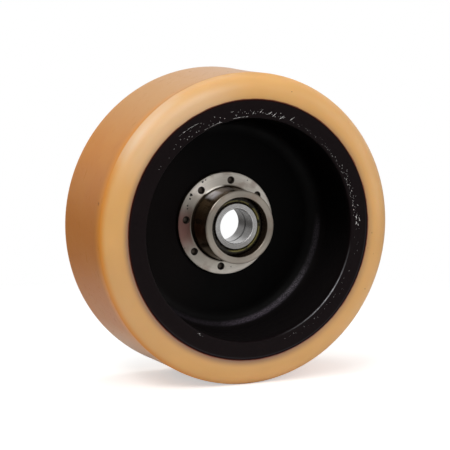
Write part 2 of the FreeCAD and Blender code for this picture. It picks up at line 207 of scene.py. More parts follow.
# %% [markdown]
# ## Floor
# A pale disc under the wheel takes its soft shadow. It could be a sheet that curves up behind the wheel, but a
# flat disc that fades into the white of the room towards its edge shows no horizon either, and is simpler. The
# camera sees a little glow on it, which lights nothing.

# %% Pale floor
FLOOR_RADIUS = 1.2
FLOOR_SIDES = 96
FLOOR_GAP = 0.0002
FLOOR_TONE = (0.86, 0.86, 0.86, 1)
FLOOR_GLOW = 0.5
FLOOR_FADE = (0.25, 0.75)  # metres from the middle, where the disc starts to fade and where it is gone

floor_level = cad_box[0].z - FLOOR_GAP
floor_turns = [math.tau * side / FLOOR_SIDES for side in range(FLOOR_SIDES)]
floor_mesh = bpy.data.meshes.new("floor")
floor_mesh.from_pydata(
    [(FLOOR_RADIUS * math.sin(turn), FLOOR_RADIUS * math.cos(turn), floor_level) for turn in floor_turns],
    [],
    [list(reversed(range(FLOOR_SIDES)))],
)
floor = bpy.data.objects.new("floor", floor_mesh)
scene.collection.objects.link(floor)

pale_floor = bpy.data.materials.new("pale_floor")
pale_floor.use_nodes = True
pale_floor.node_tree.nodes.clear()
paper = Recipe(pale_floor.node_tree)
matt = paper.node("ShaderNodeBsdfDiffuse", Color=FLOOR_TONE).outputs[0]
camera_ray = paper.node("ShaderNodeLightPath").outputs["Is Camera Ray"]
glow_strength = paper.math("MULTIPLY", camera_ray, FLOOR_GLOW)
glow = paper.node("ShaderNodeEmission", Color=(1, 1, 1, 1), Strength=glow_strength).outputs[0]
lit = paper.node("ShaderNodeAddShader", matt, glow).outputs[0]
floor_point = paper.node("ShaderNodeTexCoord").outputs["Object"]
from_middle = paper.vectors("LENGTH", paper.vectors("MULTIPLY", floor_point, (1, 1, 0)))
clear = paper.node("ShaderNodeBsdfTransparent").outputs[0]
faded = paper.node("ShaderNodeMixShader", paper.fade(from_middle, *FLOOR_FADE), lit, clear).outputs[0]
paper.node("ShaderNodeOutputMaterial", Surface=faded)
floor_mesh.materials.append(pale_floor)
print("floor at", round(floor_level, 4))

# %% [markdown]
# ## A small kit for finishes
# All the pieces turn round the axle, and their wear follows the radius, the depth behind the front face and the
# clock angle. Each finish could work these out again. A shared group does it once, in millimetres and turns, from
# Object coordinates, so that every mark stays on its piece when the wheel turns. A finish is then a recipe round
# one Principled shader, and what is the same all over a surface sits on the shader's own sockets.


# %% Where a point lies on the wheel
def make_place_group():
    group = bpy.data.node_groups.new("place_on_wheel", "ShaderNodeTree")
    for name, kind in (("Radius", "Float"), ("Depth", "Float"), ("Turn", "Float"), ("Point", "Vector")):
        group.interface.new_socket(name, in_out="OUTPUT", socket_type=f"NodeSocket{kind}")
    place = Recipe(group)
    in_metres = place.node("ShaderNodeTexCoord").outputs["Object"]
    point = place.vectors("MULTIPLY", in_metres, (1000, 1000, 1000))
    part = place.node("ShaderNodeSeparateXYZ", point).outputs
    place.node(
        "NodeGroupOutput",
        Radius=place.vectors("LENGTH", place.vector(x=part["X"], z=part["Z"])),
        Depth=place.math("ADD", part["Y"], HALF_WIDTH),
        Turn=place.math("DIVIDE", place.math("ARCTAN2", part["X"], part["Z"]), math.tau),
        Point=point,
    )
    return group


PLACE_ON_WHEEL = make_place_group()
print("group", PLACE_ON_WHEEL.name)


# %% Recipe for a finish
NOISE_REACH = (0.3, 0.7)  # noise seldom leaves this range


class Finish(Recipe):
    """One material round a Principled shader."""

    def __init__(self, name, **constants):
        self.material = bpy.data.materials.new(name)
        self.material.use_nodes = True
        super().__init__(self.material.node_tree)
        self.shader = self.tree.nodes["Principled BSDF"]
        self.set(**constants)
        place = self.tree.nodes.new("ShaderNodeGroup")
        place.node_tree = PLACE_ON_WHEEL
        self.radius, self.depth, self.turn, self.point = place.outputs

    def band(self, value, start, full, full_end, end):
        """1 between full and full_end, and 0 outside start and end."""
        return self.both(self.fade(value, start, full), self.fade(value, end, full_end))

    def facing(self, clock, start, end, high=1.0, low=0.0):
        """High on the side of the wheel that a clock angle points to, low on the other side."""
        from_there = self.math("SUBTRACT", self.turn, clock / 360)
        return self.fade(self.math("COSINE", self.math("MULTIPLY", from_there, math.tau)), start, end, low, high)

    def noise(self, scale, detail=3.0, rough=0.5, at=None):
        """Clouds from 0 to 1, about so many in a millimetre."""
        return self.node(
            "ShaderNodeTexNoise",
            Vector=self.point if at is None else at,
            Scale=scale,
            Detail=detail,
            Roughness=rough,
        ).outputs["Fac"]

    def patchy(self, scale, detail, low, high):
        """Wanders between low and high in soft patches."""
        return self.fade(self.noise(scale, detail), *NOISE_REACH, low, high)

    def tool_rings(self, scale, detail, rough):
        """Noise that knows only the radius and the depth, so that it runs round the axle."""
        at = self.vector(self.math("MULTIPLY", self.radius, scale), self.math("MULTIPLY", self.depth, scale))
        return self.noise(1.0, detail, rough, at)

    def mix(self, factor, first, second):
        node = self.tree.nodes.new("ShaderNodeMix")
        node.data_type = "RGBA"
        self.feed(node.inputs["Factor"], factor)
        for socket, value in ((node.inputs[6], first), (node.inputs[7], second)):
            self.feed(socket, value if isinstance(value, bpy.types.NodeSocket) else (*value, 1))
        return node.outputs[2]

    def bump(self, height, millimetres, over=None):
        """Raises the surface by a height of 0 to 1 times so many millimetres."""
        node = self.node("ShaderNodeBump", Distance=millimetres / 1000, Height=height)
        if over is not None:
            self.feed(node.inputs["Normal"], over)
        return node.outputs["Normal"]

    def set(self, **sockets):
        for name, value in sockets.items():
            self.feed(self.shader.inputs[name.replace("_", " ")], value)

    def done(self, **sockets):
        """Feeds the shader at the end of a recipe."""
        self.set(**sockets)
        print("finish", self.material.name, "nodes", len(self.tree.nodes))


print("finish calls", *[call for call in vars(Finish) if call[0] != "_"])

# %% [markdown]
# ## A small kit for shapes
# Repeated and swept pieces come from Geometry Nodes. A shape keeps one tree with named inputs, runs it on an
# object, and leaves a plain mesh behind: the tree ends in Realize Instances and Set Material, the result is
# read from the evaluated object, and the modifier is removed.


# %% Shapes from Geometry Nodes
class Shape(Recipe):
    """One Geometry Nodes tree with named inputs."""

    def __init__(self, name, **inputs):
        super().__init__(bpy.data.node_groups.new(name, "GeometryNodeTree"))
        self.tree.is_modifier = True
        face = self.tree.interface
        self.keys = {}
        for key, kind in {**inputs, "Finish": "Material"}.items():
            socket = face.new_socket(key.replace("_", " "), in_out="INPUT", socket_type=f"NodeSocket{kind}")
            self.keys[key] = socket.identifier
        face.new_socket("Geometry", in_out="OUTPUT", socket_type="NodeSocketGeometry")
        self.inputs = self.tree.nodes.new("NodeGroupInput").outputs

    def step(self, kind, *values, **sockets):
        """Makes a geometry node and hands back its first output."""
        return self.node(f"GeometryNode{kind}", *values, **sockets).outputs[0]

    def random(self, low, high, draw=0):
        """A random number for each point. Every draw of a tree has its own number, added to the seed."""
        node = self.node("FunctionNodeRandomValue", Seed=self.math("ADD", self.inputs["Seed"], draw))
        self.feed(node.inputs[2], low)
        self.feed(node.inputs[3], high)
        return node.outputs[1]

    def clock_place(self, angle, radius, depth):
        """A position on the wheel, from an angle that starts at the top and runs towards +X."""
        return self.vector(
            self.math("MULTIPLY", radius, self.math("SINE", angle)),
            depth,
            self.math("MULTIPLY", radius, self.math("COSINE", angle)),
        )

    def close(self, geometry, some_faces=None, second_finish=None):
        """Ends the tree: real meshes with one finish, or with a second one on some faces."""
        real = self.step("RealizeInstances", geometry)
        dressed = self.step("SetMaterial", real, Material=self.inputs["Finish"])
        if some_faces is not None:
            dressed = self.step("SetMaterial", dressed, some_faces, second_finish)
        self.node("NodeGroupOutput", dressed)
        print("tree", self.tree.name, "nodes", len(self.tree.nodes))

    def make(self, name, sharp=40, **values):
        """Runs the tree on an object and leaves a plain mesh, sharp where faces meet at more than an angle."""
        piece = bpy.data.objects.new(name, bpy.data.meshes.new(name))
        scene.collection.objects.link(piece)
        modifier = piece.modifiers.new(name, "NODES")
        modifier.node_group = self.tree
        for key, value in values.items():
            modifier[self.keys[key]] = value
        piece.update_tag()
        bpy.context.view_layer.update()
        depsgraph = bpy.context.evaluated_depsgraph_get()
        made = bpy.data.meshes.new_from_object(piece.evaluated_get(depsgraph), depsgraph=depsgraph)
        piece.modifiers.clear()
        piece.data = made
        made.name = name
        made.shade_smooth()
        made.set_sharp_from_angle(angle=math.radians(sharp))
        print(name, "triangles", sum(len(face.vertices) - 2 for face in made.polygons))
        return piece


print("shape calls", *[call for call in vars(Shape) if call[0] != "_"])

# %% [markdown]
# ## The tyre
# The tyre is poured round the rim in a mould and then ground true. Its sides are smooth and slightly glossy, and
# they sink a little where the resin meets the rim. The tread is ground and matt, a little hollow from wear, with
# a sharp edge. A lathe makes such a piece, so the tree sweeps the tyre's section round a circle. The section is
# drawn from the same sizes as the solid, with the sunken rim line added.

# %% The tyre's section
TYRE_RADIUS = 177.5
TYRE_WIDTH = 2 * HALF_WIDTH
TYRE_BORE = 147.5
SHOULDER_DEPTH = 13.0
SHOULDER_RADIUS = 25.0
SHOULDER_START = TYRE_RADIUS - math.sqrt(2 * SHOULDER_RADIUS * SHOULDER_DEPTH - SHOULDER_DEPTH**2)
SHOULDER_STEPS = 14
SHOULDER_SHARE = 0.99  # of the arc: the rest is the edge's small bevel
EDGE_BEVEL = [(0.09, -0.12), (0.06, 0.25)]  # below the tread, and behind the shoulder
EDGE_DROP = 0.06
TREAD_HOLLOW = 0.6
TREAD_STEPS = 8
SUNKEN_LINE = [
    (TYRE_BORE, 1.3), (147.9, 0.95), (148.5, 0.66), (149.4, 0.4), (150.6, 0.2), (152.2, 0.07), (154.0, 0.0),
]


def tyre_section():
    """(radius, depth) points in mm, from the rim to the middle of the tread, then mirrored."""
    half = list(SUNKEN_LINE)
    sweep = math.acos(1 - SHOULDER_DEPTH / SHOULDER_RADIUS)
    for step in range(SHOULDER_STEPS + 1):
        turn = sweep * step / SHOULDER_STEPS * SHOULDER_SHARE
        half.append((SHOULDER_START + SHOULDER_RADIUS * math.sin(turn), SHOULDER_RADIUS * (1 - math.cos(turn))))
    half += [(TYRE_RADIUS - below, SHOULDER_DEPTH + behind) for below, behind in EDGE_BEVEL]
    reach = HALF_WIDTH - SHOULDER_DEPTH
    for step in range(1, TREAD_STEPS + 1):
        depth = SHOULDER_DEPTH + reach * step / TREAD_STEPS
        sunk = (TREAD_HOLLOW - EDGE_DROP) * (1 - ((HALF_WIDTH - depth) / reach) ** 2)
        half.append((TYRE_RADIUS - EDGE_DROP - sunk, depth))
    return half + [(radius, TYRE_WIDTH - depth) for radius, depth in reversed(half[:-1])]


section_points = tyre_section()
section_curve = bpy.data.curves.new("tyre_section", "CURVE")
section_curve.dimensions = "2D"
section_spline = section_curve.splines.new("POLY")
section_spline.points.add(len(section_points) - 1)
for point, (radius, depth) in zip(section_spline.points, section_points):
    point.co = ((radius - TYRE_BORE) / 1000, (depth - HALF_WIDTH) / 1000, 0, 1)
section_spline.use_cyclic_u = True
section = bpy.data.objects.new("tyre_section", section_curve)
scene.collection.objects.link(section)
print("section points", len(section_points))

# %% Sweep the section round the axle
lathe = Shape("turned_ring", Section="Object", Ring_radius="Float", Steps="Int", Tread_finish="Material")
given = lathe.inputs
path = lathe.step("CurvePrimitiveCircle", Resolution=given["Steps"], Radius=given["Ring radius"])
drawn = lathe.node("GeometryNodeObjectInfo", Object=given["Section"]).outputs["Geometry"]
swept = lathe.step("CurveToMesh", Curve=path, Profile_Curve=drawn)
upright = lathe.step("Transform", Geometry=swept, Rotation=(math.radians(90), 0, 0))
face_y = lathe.node("ShaderNodeSeparateXYZ", lathe.step("InputPosition")).outputs["Y"]
on_tread = lathe.math("LESS_THAN", lathe.math("ABSOLUTE", face_y), (HALF_WIDTH - SHOULDER_DEPTH) / 1000)
lathe.close(upright, on_tread, given["Tread finish"])

# %% [markdown]
# ### Amber polyurethane
# The resin is a warm amber that lets a little light in. Near the rim it is thin over black iron and looks greyer,
# and painted shade makes this band darkest at the lower left; a dull red bond line runs round the rim itself. A
# painted highlight pales the upper left, up to the shoulder, and painted shade darkens the bottom and the lower left.
# The sharp tread edge has a painted deep-orange glow, darker at the top. These zones could be painted by hand on a
# map, but they follow the radius, the depth and the clock angle, so masks of those make them.

# %% Moulded sides: painted highlight and painted shade
resin = Finish(
    "amber_polyurethane",
    IOR=1.5,
    Specular_IOR_Level=0.7,
    Subsurface_Weight=0.2,
    Subsurface_Radius=(0.006, 0.0028, 0.0009),
    Subsurface_Scale=1.0,
)
clouds = resin.fade(resin.noise(0.018, 2), 0.35, 0.65)
side_colour = resin.mix(clouds, (0.745, 0.404, 0.128), (0.775, 0.426, 0.142))
# painted shade: darker towards the bottom
low_shade = resin.both(resin.fade(resin.radius, 170, 150), resin.facing(182, -0.4, 0.6, 0.6))
side_colour = resin.mix(low_shade, side_colour, (0.575, 0.318, 0.114))
# painted highlight: the side is paler at the upper left, out to the shoulder
side_painted_highlight = resin.both(resin.facing(324, 0.80, 1.0), resin.fade(resin.radius, 176, 160))
side_colour = resin.mix(side_painted_highlight, side_colour, (0.79, 0.503, 0.262))
# painted shade: darker at the lower left
side_colour = resin.mix(resin.facing(240, 0.85, 1.0, 0.5), side_colour, (0.60, 0.325, 0.118))
print("mask nodes", len(resin.tree.nodes))

# %% Moulded sides: towards the rim and the tread
# the greyer band over thin resin is real; its strength by clock angle, most at the lower left and least at the top, is
# painted shade
band_shade_by_clock = resin.math("SUBTRACT", resin.facing(225, 0.0, 0.8, 1.35), resin.facing(0, 0.6, 1.0))
thin_and_shade = resin.math("POWER", resin.fade(resin.radius, 158.0, 147.6), 1.5)
thin_and_shade = resin.both(thin_and_shade, resin.math("MULTIPLY_ADD", band_shade_by_clock, 0.43, 0.57))
side_colour = resin.mix(thin_and_shade, side_colour, (0.30, 0.158, 0.086))
wander = resin.patchy(0.09, 2, -0.35, 0.35)
bond = resin.fade(resin.math("ADD", resin.radius, wander), 149.1, 148.0)
side_colour = resin.mix(bond, side_colour, (0.27, 0.066, 0.028))
edge_glow = resin.either(resin.band(resin.depth, 5.5, 12.8, 60, 61), resin.band(resin.depth, 74, 75, 122.2, 129.5))
# painted glow: light through the thin tread edge drawn as deep orange, strongest at the left
deep_edge_painted_glow = resin.both(edge_glow, resin.facing(247, 0.50, 0.80, high=0.95, low=0.2))
side_colour = resin.mix(deep_edge_painted_glow, side_colour, (0.67, 0.235, 0.006))
# painted glow at the top of the edge, a darker orange-brown
edge_top_painted_glow = resin.both(edge_glow, resin.facing(347, 0.82, 0.99, 0.5))
side_colour = resin.mix(edge_top_painted_glow, side_colour, (0.46, 0.23, 0.03))
# painted highlight: a pale band on the shoulder at the upper left
shoulder_painted_highlight = resin.both(resin.facing(315, 0.94, 0.99), resin.fade(resin.radius, 168, 173, 0.0, 0.5))
side_colour = resin.mix(shoulder_painted_highlight, side_colour, (0.74, 0.54, 0.36))
resin.done(
    Base_Color=side_colour,
    Roughness=resin.patchy(0.03, 2, 0.34, 0.41),
    Normal=resin.bump(resin.noise(0.25, 2), 0.03),
)

# %% [markdown]
# ### Ground tread
# The tread is ground true after casting. That leaves it matt and a browner orange, faintly streaked round the
# wheel, with stains and a scuffed part low down, where a painted sheen greys it. A painted sheen pales the top,
# painted shade darkens the left, and a painted deep-orange glow runs along its edges, darker at the top. It has
# little shine of its own except where it is seen edge-on, so it is a finish apart from the glossier sides, with a
# thin sheen.

# %% Ground tread
tread = Finish(
    "ground_polyurethane",
    IOR=1.5,
    Specular_IOR_Level=0.13,
    Sheen_Weight=0.30,
    Sheen_Roughness=0.2,
    Sheen_Tint=(1.0, 0.95, 0.98, 1.0),
)
streak_at = tread.vector(tread.math("MULTIPLY", tread.turn, 60.0), tread.math("MULTIPLY", tread.depth, 0.55))
streaks = tread.noise(1.0, 4, 0.6, streak_at)
tread_colour = tread.mix(streaks, (0.545, 0.178, 0.006), (0.630, 0.228, 0.016))
stains = tread.fade(tread.noise(0.022, 3), 0.40, 0.70, 0.0, 0.6)
tread_colour = tread.mix(stains, tread_colour, (0.620, 0.246, 0.026))
# painted sheen: paler at the top
tread_colour = tread.mix(tread.facing(345, 0.7, 1.0, 0.8), tread_colour, (0.555, 0.285, 0.084))
# painted shade: darker at the left
tread_colour = tread.mix(tread.facing(258, 0.7, 1.0, 0.6), tread_colour, (0.440, 0.130, 0.008))
near_edge = tread.either(tread.fade(tread.depth, 31.0, 13.0), tread.fade(tread.depth, 119.0, 122.0))
# painted glow: deep orange along the edges at the left
tread_edge_painted_glow = tread.both(near_edge, tread.facing(262, 0.0, 0.8, high=0.9, low=0.1))
tread_colour = tread.mix(tread_edge_painted_glow, tread_colour, (0.70, 0.250, 0.008))
# painted glow at the top of the edge, a darker orange-brown
tread_top_painted_glow = tread.both(tread.fade(tread.depth, 18.0, 14.0), tread.facing(342, 0.85, 0.99, 0.45))
tread_colour = tread.mix(tread_top_painted_glow, tread_colour, (0.44, 0.20, 0.03))
# the scuffs follow the streaks low down at the lower left; their pale grey is partly painted sheen
scuff_and_painted_sheen = tread.both(tread.facing(208, 0.90, 0.99), tread.fade(streaks, 0.35, 0.6, 0.45, 0.8))
tread_colour = tread.mix(scuff_and_painted_sheen, tread_colour, (0.70, 0.44, 0.24))
tread.done(
    Base_Color=tread_colour,
    Roughness=tread.fade(streaks, *NOISE_REACH, 0.27, 0.37),
    Normal=tread.bump(streaks, 0.05),
)

# %% The tyre itself
tyre = lathe.make(
    "tyre_cast",
    Section=section,
    Ring_radius=TYRE_BORE / 1000,
    Steps=288,
    Finish=resin.material,
    Tread_finish=tread.material,
    sharp=25,
)
bpy.data.objects.remove(section)
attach(tyre, "wheel")
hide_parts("tyre")

# %% [markdown]
# ## The rim
# The rim is sand-cast iron, turned on its faces and sprayed satin black. Painted shade makes the paint inside the
# hollow far darker than on the face, and painted light brightens the left of the web and the lower barrel. The
# casting stays rough where no tool reached it, most of all in the wide fillet between the barrel and the web, which
# carries a painted grainy highlight at the lower right. The mouth's edge is rubbed to the metal at the lower right,
# where it is also a painted highlight, and a faint painted highlight runs along the outer edge. The solid already
# has the right form, so it keeps its mesh and gets a paint finish that follows the radius and the depth.

# %% Satin black paint: tones, with painted shade and light inside
paint = Finish(
    "satin_black_paint",
    IOR=1.45,
    Specular_IOR_Level=0.07,
    Coat_Roughness=0.34,
    Coat_IOR=1.5,
)
inside = paint.both(paint.fade(paint.radius, 127.4, 126.0), paint.band(paint.depth, 1.5, 5, 130, 133.5))
# painted shade: the paint inside the hollow is given a far darker tone than on the face
inside_painted_shade_tone = paint.mix(paint.noise(0.05, 2), (0.0004, 0.0003, 0.0003), (0.0012, 0.0010, 0.0010))
# painted light: lighter at the left of the web
inside_painted_shade_tone = paint.mix(paint.facing(270, 0.2, 1.0), inside_painted_shade_tone, (0.0050, 0.0034, 0.0034))
# painted light: lighter on the lower barrel
low_barrel_painted_light = paint.both(inside, paint.fade(paint.radius, 112, 122), paint.facing(168, 0.0, 0.8))
inside_painted_shade_tone = paint.mix(low_barrel_painted_light, inside_painted_shade_tone, (0.0066, 0.0054, 0.0056))
face_tone = paint.mix(paint.noise(0.3, 3), (0.0053, 0.0031, 0.0036), (0.0092, 0.0060, 0.0066))
paint_tone = paint.mix(inside, face_tone, inside_painted_shade_tone)
print("mask nodes", len(paint.tree.nodes))

# %% Satin black paint: painted highlights, worn edges and relief
cast = paint.both(
    paint.band(paint.radius, 113.4, 117.3, 118.2, 120.9),
    paint.band(paint.depth, 56, 60, 110, 114),
)
sand = paint.noise(0.8, 4, 0.75)
lumps = paint.noise(0.12, 2)
# painted highlight: the rough fillet is paler and grainy where the light catches it, most at the lower right, and has a
# coat there
highlight_by_clock = paint.either(
    paint.math("POWER", paint.facing(152, 0.72, 1.0), 1.5),
    paint.facing(188, 0.7, 0.95, 0.24),
    paint.facing(106, 0.94, 1.0, 0.22),
)
fillet_painted_shine = paint.both(paint.fade(sand, 0.42, 0.62, 0.12, 1.0), cast, highlight_by_clock)
paint_tone = paint.mix(fillet_painted_shine, paint_tone, (0.120, 0.099, 0.127))
# painted highlight: a faint line along the outer edge at the lower right
edge_painted_highlight = paint.both(paint.band(paint.radius, 144.7, 145.1, 145.5, 145.9), paint.facing(160, 0.1, 0.6))
paint_tone = paint.mix(edge_painted_highlight, paint_tone, (0.024, 0.023, 0.026))
paint_tone = paint.mix(paint.fade(paint.radius, 146.0, 146.9), paint_tone, (0.016, 0.0040, 0.0040))
# the mouth's edge is rubbed to the metal only at the lower right, where it is also a painted highlight
rubbed_and_painted_highlight = paint.both(
    paint.band(paint.radius, 126.7, 127.0, 127.7, 128.1),
    paint.fade(paint.depth, 1.9, 1.5),
    paint.band(paint.turn, 0.268, 0.345, 0.375, 0.465),
    paint.fade(lumps, 0.25, 0.6, 0.45, 0.95),
)
paint_tone = paint.mix(rubbed_and_painted_highlight, paint_tone, (0.14, 0.14, 0.147))
peel = paint.bump(paint.noise(0.5, 2), 0.02)
rough_cast = paint.bump(paint.both(sand, cast), 0.22, peel)
wavy = paint.bump(paint.both(lumps, inside), 0.25, rough_cast)
paint.done(
    Base_Color=paint_tone,
    Metallic=rubbed_and_painted_highlight,
    Roughness=paint.patchy(0.08, 2, 0.36, 0.44),
    Normal=wavy,
    Coat_Weight=paint.math("MULTIPLY", fillet_painted_shine, 0.5),
    Coat_Normal=wavy,
)


# %% Dress the rim
def dress(finish, *names):
    """Gives CAD nodes a finish, in every material slot they have."""
    for name in names:
        for slot in nodes[name].material_slots:
            slot.material = finish.material
    print(finish.material.name, "on", len(names), "nodes")


dress(paint, "rim")

# %% [markdown]
# ### Chipped paint
# The front face has been knocked and rubbed: it is peppered with tiny bare chips, thickest over the top and down the
# right side, with slanting strokes at the top and one long scratch at the upper left. Painted as texture, such marks
# would be blurred, so each chip is a small uneven flake, set in the face and standing a hair proud of it. A tree
# scatters a number of them between two clock angles and two radii, with a fixed seed.

# %% Tree for chips: where they lie
chips = Shape(
    "paint_chips", Count="Int", Seed="Int", Start="Float", End="Float", Inner="Float", Outer="Float", Slope="Float",
    Length="Float", Width="Float", Lean="Float", Spread="Float", Shake="Float", Depth="Float",
)
given = chips.inputs
spots = chips.step("MeshLine", Count=given["Count"])
chip_number = chips.step("InputIndex")
chip_share = chips.math("DIVIDE", chips.math("ADD", chip_number, chips.random(0.0, 1.0)), given["Count"])
along = chips.math("MULTIPLY", chip_share, chips.math("SUBTRACT", given["End"], given["Start"]))
chip_angle = chips.math("ADD", given["Start"], along)
chip_radius = chips.random(given["Inner"], given["Outer"], 1)
chip_radius = chips.math("ADD", chip_radius, chips.math("MULTIPLY", along, given["Slope"]))
scattered = chips.step(
    "SetPosition",
    Geometry=spots,
    Position=chips.clock_place(chip_angle, chip_radius, given["Depth"]),
)
print("chip inputs", len(chips.keys))

# %% Tree for chips: their form
FLAKE_SIDES = 7
FLAKE_THICKNESS = 0.0003
FLAKE_SHORTEST = 0.3  # of the field's length
FLAKE_NARROWEST = 0.45  # of the field's width
RAGGED_SCALE = 1800.0

tilt = chips.math("MULTIPLY", chips.random(-1.0, 1.0, 2), given["Spread"])
heading = chips.math("ADD", chips.math("ADD", chip_angle, tilt), given["Lean"])
stretch = chips.math("POWER", chips.random(0.0, 1.0, 3), 2.0)
long_share = chips.math("MULTIPLY_ADD", stretch, 1 - FLAKE_SHORTEST, FLAKE_SHORTEST)
long_scale = chips.math("MULTIPLY", given["Length"], long_share)
wide_scale = chips.math("MULTIPLY", given["Width"], chips.random(FLAKE_NARROWEST, 1.0, 4))
flake = chips.step("MeshCylinder", Vertices=FLAKE_SIDES, Radius=0.5, Depth=FLAKE_THICKNESS)
flakes = chips.step(
    "InstanceOnPoints",
    Points=scattered,
    Instance=flake,
    Rotation=chips.node("FunctionNodeEulerToRotation", chips.vector(math.radians(90), heading)).outputs[0],
    Scale=chips.vector(long_scale, wide_scale, 1.0),
)
ragged = chips.node("ShaderNodeTexNoise", Scale=RAGGED_SCALE, Detail=1.0).outputs["Color"]
uneven = chips.step(
    "SetPosition",
    Geometry=chips.step("RealizeInstances", flakes),
    Offset=chips.vectors(
        "MULTIPLY",
        chips.vectors("SUBTRACT", ragged, (0.5, 0.5, 0.5)),
        chips.vector(x=given["Shake"], z=given["Shake"]),
    ),
)
chips.close(uneven)

# %% [markdown]
# ### Bare iron
# Where the paint has gone, iron shows, bright where it was knocked lately and grey where it has dulled. One grey
# would make all the chips alike, so noise picks the tone. Dulled iron shines less than clean metal, so it is only
# partly metallic.

# %% Bare iron in the chips
iron = Finish("bare_iron", Metallic=0.35, IOR=1.5, Specular_IOR_Level=0.5)
bright_spots = iron.fade(iron.noise(0.35, 2), 0.35, 0.65)
iron.done(
    Base_Color=iron.mix(bright_spots, (0.26, 0.25, 0.245), (0.95, 0.94, 0.93)),
    Roughness=iron.patchy(2.0, 1, 0.35, 0.55),
)

# %% Scatter the chips
FLAKE_MIDDLE = 0.0001  # metres behind the front face, so that a flake stands 0.05 mm proud
CHIP_FIELDS = {
    # name: count, seed, clock angles, radii, slope in mm per radian, length, width, lean in degrees, spread, shake
    "chips_left": (4, 13, (301, 316), (128.9, 134.5), 0, 1.4, 0.7, 0, 0.7, 0.5),
    "chips_upper_left": (20, 11, (317, 346), (129.5, 138.0), 0, 1.7, 0.7, -10, 0.4, 0.5),
    "chips_scratch": (9, 23, (322, 332.5), (140.2, 140.6), -7, 6.5, 0.5, 0, 0.05, 0.15),
    "chips_top": (30, 37, (349, 379), (130.0, 137.6), 0, 1.7, 0.6, -38, 0.5, 0.4),
    "chips_top_strokes": (7, 101, (1, 23), (130.6, 134.2), 0, 9.5, 0.55, -46, 0.1, 0.25),
    "chips_top_right": (16, 43, (382, 407), (128.9, 133.5), 0, 1.0, 0.6, 0, 1.2, 0.5),
    "chips_right_start": (9, 59, (45, 58), (128.9, 131.5), 0, 1.2, 0.75, 0, 0.7, 0.5),
    "chips_right": (38, 41, (58, 86), (128.9, 134.0), 0, 1.25, 0.8, 0, 0.7, 0.5),
    "chips_right_outer": (20, 47, (60, 106), (131.0, 138.5), 0, 0.9, 0.6, 0, 0.7, 0.5),
    "chips_scuff": (9, 53, (85.0, 90.5), (132.5, 137.5), 0, 4.4, 1.15, 0, 0.9, 0.7),
    "chips_lower_right": (22, 61, (112, 162), (131.5, 137.5), 0, 0.8, 0.6, 0, 0.7, 0.4),
    "chips_lower_left": (4, 71, (207, 211), (129.0, 133.5), 0, 1.5, 0.9, 0, 0.7, 0.6),
    "chips_mouth_left": (12, 83, (334, 344), (128.7, 129.0), 0, 6.0, 0.4, 0, 0.02, 0.1),
    "chips_mouth_top": (10, 97, (350, 358), (128.7, 129.0), 0, 5.0, 0.4, 0, 0.02, 0.1),
}
for name, (count, seed, angles, radii, slope, length, width, lean, spread, shake) in CHIP_FIELDS.items():
    field = chips.make(
        name,
        Count=count,
        Seed=seed,
        Start=math.radians(angles[0]),
        End=math.radians(angles[1]),
        Inner=radii[0] / 1000,
        Outer=radii[1] / 1000,
        Slope=slope / 1000,
        Length=length / 1000,
        Width=width / 1000,
        Lean=math.radians(lean),
        Spread=spread,
        Shake=shake / 1000,
        Depth=-HALF_WIDTH / 1000 + FLAKE_MIDDLE,
        Finish=iron.material,
    )
    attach(field, "wheel")

# %% [markdown]
# ## Small marks
# A few single marks are seen on the real wheel: dark specks in the tyre and pits in the hub's flange. Each is
# a thin uneven disc that lies on its surface. They could be round masks in the finishes, but a disc has a crisp
# edge and is easy to place: the clock angle and the radius are given, and the depth and the tilt follow from the
# surface that carries it.

# %% Discs that lie on a surface of the wheel
SPOT_LIFT = 0.04  # mm that a disc stands proud
SPOT_THICKNESS = 0.2
SPOT_SIDES = 9
SPOT_UNEVENNESS = 0.28
SPOT_WAVE = 2.4  # radians from side to side
SPOT_CHANGE = 1.7  # radians from spot to spot


def spot_outline(bm, number, height, clock, radius, depth, lean, size):
    """One uneven outline, at a height over the surface. The clock angle and the lean are in degrees."""
    turn, tilt = math.radians(clock), math.radians(lean)
    out = Vector((math.sin(turn), 0, math.cos(turn)))
    along = Vector((math.cos(turn), 0, -math.sin(turn)))
    normal = out * math.sin(tilt) + Vector((0, -math.cos(tilt), 0))
    upward = normal.cross(along)
    centre = out * radius + Vector((0, depth - HALF_WIDTH, 0)) + normal * height
    outline = []
    for side in range(SPOT_SIDES):
        angle = math.tau * side / SPOT_SIDES
        reach = size / 2 * (1 + SPOT_UNEVENNESS * math.sin(side * SPOT_WAVE + number * SPOT_CHANGE))
        outline.append(bm.verts.new((centre + (along * math.cos(angle) + upward * math.sin(angle)) * reach) / 1000))
    return outline


def lay_spots(name, places, finish):
    """Places hold the clock angle, then radius, depth, lean and size."""
    bm = bmesh.new()
    for number, place in enumerate(places):
        top, bottom = (spot_outline(bm, number, height, *place) for height in (SPOT_LIFT, SPOT_LIFT - SPOT_THICKNESS))
        for side in range(SPOT_SIDES):
            after = (side + 1) % SPOT_SIDES
            bm.faces.new((top[side], top[after], bottom[after], bottom[side]))
        bm.faces.new(top)
        bm.faces.new(reversed(bottom))
    bmesh.ops.recalc_face_normals(bm, faces=bm.faces)
    mesh = bpy.data.meshes.new(name)
    bm.to_mesh(mesh)
    bm.free()
    mesh.materials.append(finish.material)
    piece = bpy.data.objects.new(name, mesh)
    scene.collection.objects.link(piece)
    print(name, "spots", len(places))
    return piece


print("sides of a spot", SPOT_SIDES)


# %% Specks in the tyre
def on_side(clock, radius, size):
    """A place on the tyre's front side, with the depth and the lean of the shoulder."""
    lean = math.asin(max(0.0, radius - SHOULDER_START) / SHOULDER_RADIUS)
    return clock, radius, SHOULDER_RADIUS * (1 - math.cos(lean)), math.degrees(lean), size


